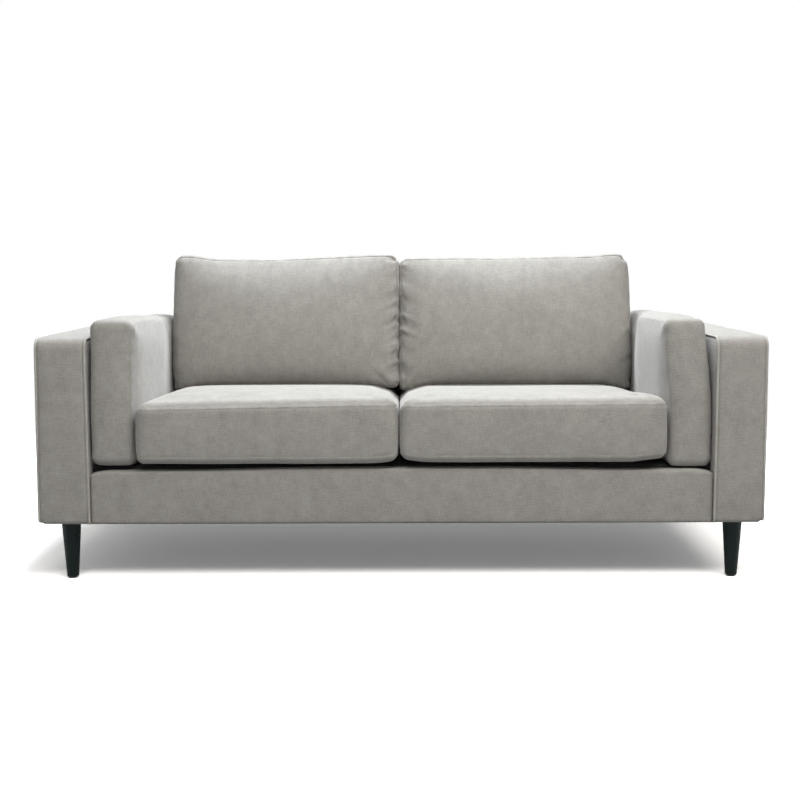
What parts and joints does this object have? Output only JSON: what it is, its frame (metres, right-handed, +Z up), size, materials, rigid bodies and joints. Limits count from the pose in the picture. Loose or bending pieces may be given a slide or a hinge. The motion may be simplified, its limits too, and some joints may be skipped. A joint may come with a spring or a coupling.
{
  "type": "sofa",
  "caption": "Low fabric sofa with slab arms, piped edges, loose seat, back and arm cushions, and round tapered legs.",
  "frame": {"origin": "on the floor, under the middle of the sofa's length and depth", "axes": "+X to the right of someone who faces the sofa, +Y from its front to its back, +Z up"},
  "size_m": [1.88, 0.9, 0.8554],
  "materials": {
    "upholstery_fabric": "matte",
    "cushion_fabric": "matte",
    "piping_fabric": "matte",
    "foam": "matte",
    "timber": "matte",
    "leg_black": "satin",
    "zinc_steel": "satin",
    "spring_steel": "satin",
    "webbing": "matte",
    "deck_cloth": "matte",
    "dust_cloth": "matte",
    "glide_plastic": "matte",
    "zip_tape": "matte",
    "zip_metal": "satin"
  },
  "bodies": {
    "frame": {"left_arm_front_post": "timber", "left_arm_rear_post": "timber", "left_arm_top_rail": "timber", "left_arm_bottom_rail": "timber", "left_arm_foam": "foam", "left_arm_cover": "upholstery_fabric", "left_arm_piping": "piping_fabric", "right_arm_front_post": "timber", "right_arm_rear_post": "timber", "right_arm_top_rail": "timber", "right_arm_bottom_rail": "timber", "right_arm_foam": "foam", "right_arm_cover": "upholstery_fabric", "right_arm_piping": "piping_fabric", "front_seat_rail": "timber", "rear_seat_rail": "timber", "centre_stretcher": "timber", "back_top_rail": "timber", "back_centre_post": "timber", "arm_bolts": "zinc_steel", "seat_springs": "spring_steel", "spring_clips": "zinc_steel", "back_webbing": "webbing", "deck_cloth": "deck_cloth", "back_foam": "foam", "back_cover": "upholstery_fabric", "front_border_cover": "upholstery_fabric", "dust_cover": "dust_cloth", "leg_front_left": "leg_black", "leg_front_right": "leg_black", "leg_rear_left": "leg_black", "leg_rear_right": "leg_black", "leg_plates": "zinc_steel", "leg_plate_screws": "zinc_steel", "leg_bolts": "zinc_steel", "leg_glides": "glide_plastic"},
    "seat_cushion_left": {"seat_cushion_left_cover": "cushion_fabric", "seat_cushion_left_core": "foam", "seat_cushion_left_zip_tape": "zip_tape"},
    "seat_cushion_left_zip": {"seat_cushion_left_zip_slider": "zip_metal"},
    "back_cushion_left": {"back_cushion_left_cover": "cushion_fabric", "back_cushion_left_core": "foam", "back_cushion_left_zip_tape": "zip_tape"},
    "back_cushion_left_zip": {"back_cushion_left_zip_slider": "zip_metal"},
    "arm_cushion_left": {"arm_cushion_left_cover": "cushion_fabric", "arm_cushion_left_core": "foam", "arm_cushion_left_zip_tape": "zip_tape"},
    "arm_cushion_left_zip": {"arm_cushion_left_zip_slider": "zip_metal"},
    "seat_cushion_right": {"seat_cushion_right_cover": "cushion_fabric", "seat_cushion_right_core": "foam", "seat_cushion_right_zip_tape": "zip_tape"},
    "seat_cushion_right_zip": {"seat_cushion_right_zip_slider": "zip_metal"},
    "back_cushion_right": {"back_cushion_right_cover": "cushion_fabric", "back_cushion_right_core": "foam", "back_cushion_right_zip_tape": "zip_tape"},
    "back_cushion_right_zip": {"back_cushion_right_zip_slider": "zip_metal"},
    "arm_cushion_right": {"arm_cushion_right_cover": "cushion_fabric", "arm_cushion_right_core": "foam", "arm_cushion_right_zip_tape": "zip_tape"},
    "arm_cushion_right_zip": {"arm_cushion_right_zip_slider": "zip_metal"}
  },
  "joints": [
    {"name": "seat_cushion_left_pull", "type": "slide", "parent": "frame", "child": "seat_cushion_left", "axis": [0, -1, 0], "range_m": [0, 0.75]},
    {"name": "back_cushion_left_lift", "type": "slide", "parent": "seat_cushion_left", "child": "back_cushion_left", "axis": [0, 0, 1], "range_m": [0, 0.4]},
    {"name": "arm_cushion_left_lift", "type": "slide", "parent": "frame", "child": "arm_cushion_left", "axis": [0, 0, 1], "range_m": [0, 0.4]},
    {"name": "seat_cushion_left_zip_slide", "type": "slide", "parent": "seat_cushion_left", "child": "seat_cushion_left_zip", "axis": [-1, 0, 0], "range_m": [0, 0.491]},
    {"name": "back_cushion_left_zip_slide", "type": "slide", "parent": "back_cushion_left", "child": "back_cushion_left_zip", "axis": [1, 0, 0], "range_m": [0, 0.491]},
    {"name": "arm_cushion_left_zip_slide", "type": "slide", "parent": "arm_cushion_left", "child": "arm_cushion_left_zip", "axis": [0, 1, 0], "range_m": [0, 0.564]},
    {"name": "seat_cushion_right_pull", "type": "slide", "parent": "frame", "child": "seat_cushion_right", "axis": [0, -1, 0], "range_m": [0, 0.75]},
    {"name": "back_cushion_right_lift", "type": "slide", "parent": "seat_cushion_right", "child": "back_cushion_right", "axis": [0, 0, 1], "range_m": [0, 0.4]},
    {"name": "arm_cushion_right_lift", "type": "slide", "parent": "frame", "child": "arm_cushion_right", "axis": [0, 0, 1], "range_m": [0, 0.4]},
    {"name": "seat_cushion_right_zip_slide", "type": "slide", "parent": "seat_cushion_right", "child": "seat_cushion_right_zip", "axis": [-1, 0, 0], "range_m": [0, 0.491]},
    {"name": "back_cushion_right_zip_slide", "type": "slide", "parent": "back_cushion_right", "child": "back_cushion_right_zip", "axis": [1, 0, 0], "range_m": [0, 0.491]},
    {"name": "arm_cushion_right_zip_slide", "type": "slide", "parent": "arm_cushion_right", "child": "arm_cushion_right_zip", "axis": [0, -1, 0], "range_m": [0, 0.564]}
  ]
}
